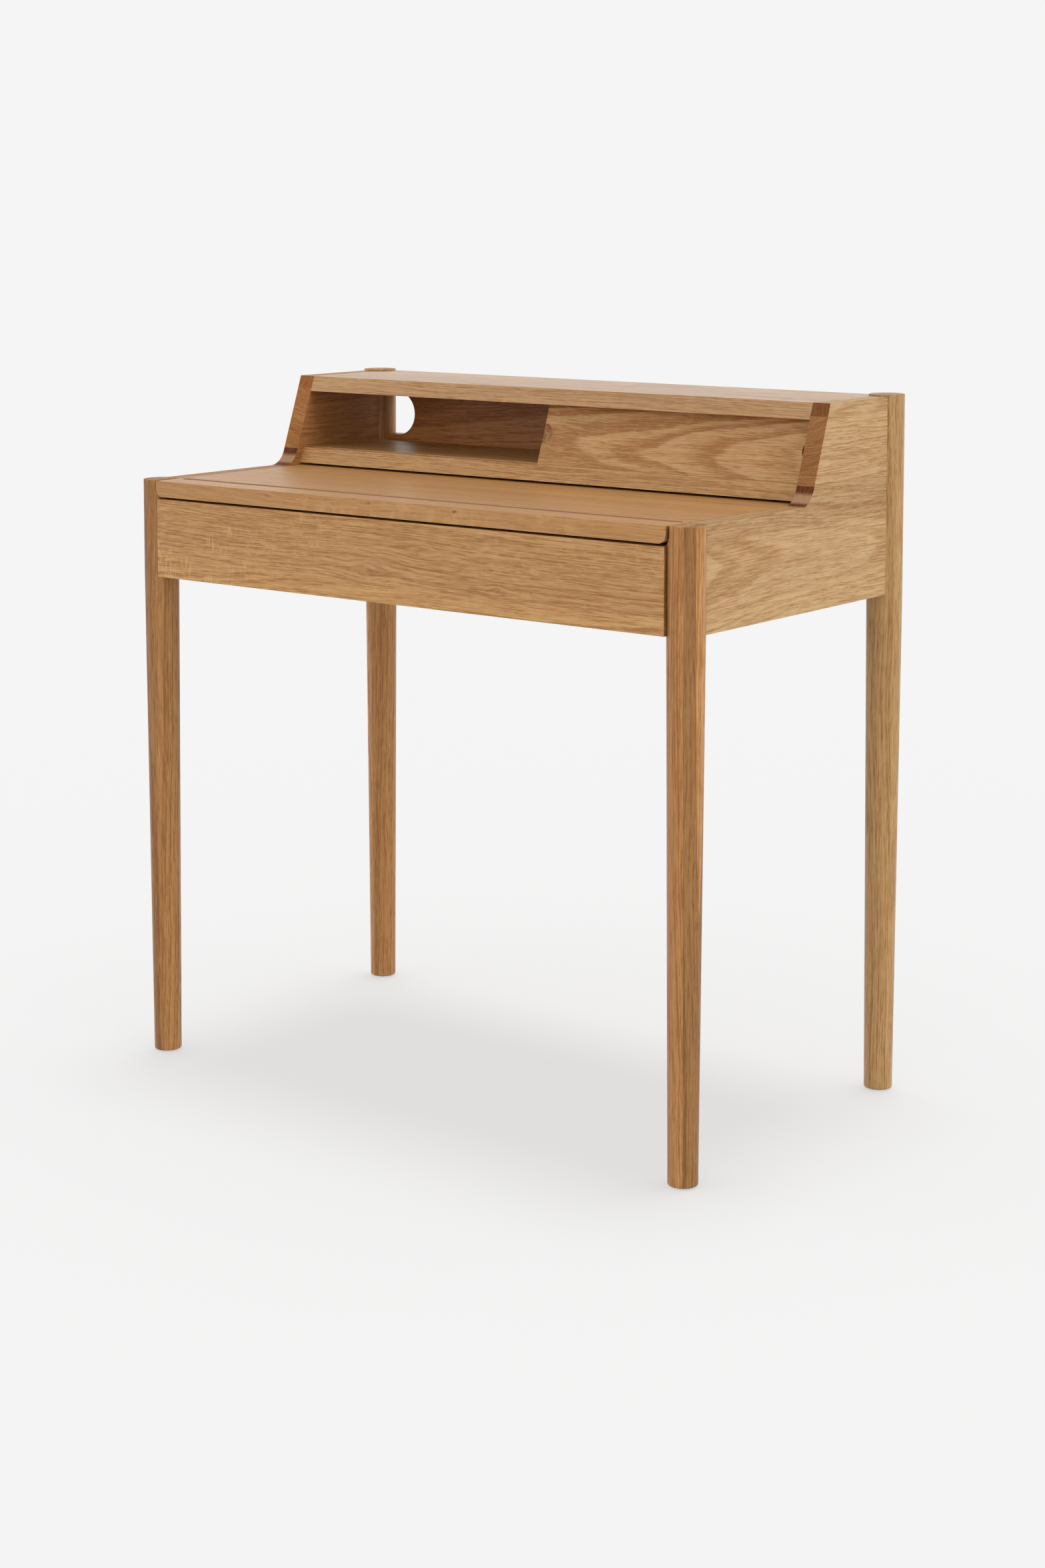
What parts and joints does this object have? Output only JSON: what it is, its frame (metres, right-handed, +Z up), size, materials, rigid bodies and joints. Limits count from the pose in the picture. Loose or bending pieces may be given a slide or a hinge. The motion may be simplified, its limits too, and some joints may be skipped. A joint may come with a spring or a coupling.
{
  "type": "writing desk",
  "caption": "Oak writing desk with turned tapered legs, stepped side panels, a shelf box with a sliding door, a pull-out worktop and one wide drawer.",
  "frame": {"origin": "on the floor, below the middle of the desk", "axes": "+X to the desk's right, -Y to the front where the user sits, +Z up"},
  "size_m": [0.86, 0.4759, 0.8708],
  "materials": {
    "oak": "oiled solid oak",
    "oak_inner": "planed oak, waxed",
    "oak_ply": "oak-faced plywood, sealed",
    "dowel": "dry beech",
    "screw_steel": "zinc plated",
    "felt": "pressed wool felt"
  },
  "bodies": {
    "frame": {"leg_front_left": "oak", "leg_front_right": "oak", "leg_rear_left": "oak", "leg_rear_right": "oak", "side_panel_left": "oak", "side_panel_right": "oak", "shelf_top_board": "oak", "shelf_floor_board": "oak", "shelf_back_board": "oak", "lower_back_board": "oak", "front_rail": "oak", "worktop_runner_left": "oak_inner", "worktop_runner_right": "oak_inner", "drawer_runner_left": "oak_inner", "drawer_runner_right": "oak_inner", "stop_blocks": "oak_inner", "frame_dowels": "dowel", "runner_screws": "screw_steel", "felt_glides": "felt"},
    "worktop": {"worktop": "oak", "worktop_batten": "oak_inner", "batten_screws": "screw_steel"},
    "drawer": {"drawer_front": "oak", "drawer_side_left": "oak_inner", "drawer_side_right": "oak_inner", "drawer_back": "oak_inner", "drawer_bottom": "oak_ply", "drawer_dowels": "dowel", "drawer_bottom_screws": "screw_steel"},
    "door": {"sliding_door": "oak"}
  },
  "joints": [
    {"name": "worktop_slide", "type": "slide", "parent": "frame", "child": "worktop", "axis": [0, -1, 0], "range_m": [0, 0.2]},
    {"name": "drawer_slide", "type": "slide", "parent": "frame", "child": "drawer", "axis": [0, -1, 0], "range_m": [0, 0.3]},
    {"name": "door_slide", "type": "slide", "parent": "frame", "child": "door", "axis": [-1, 0, 0], "range_m": [0, 0.391]}
  ]
}
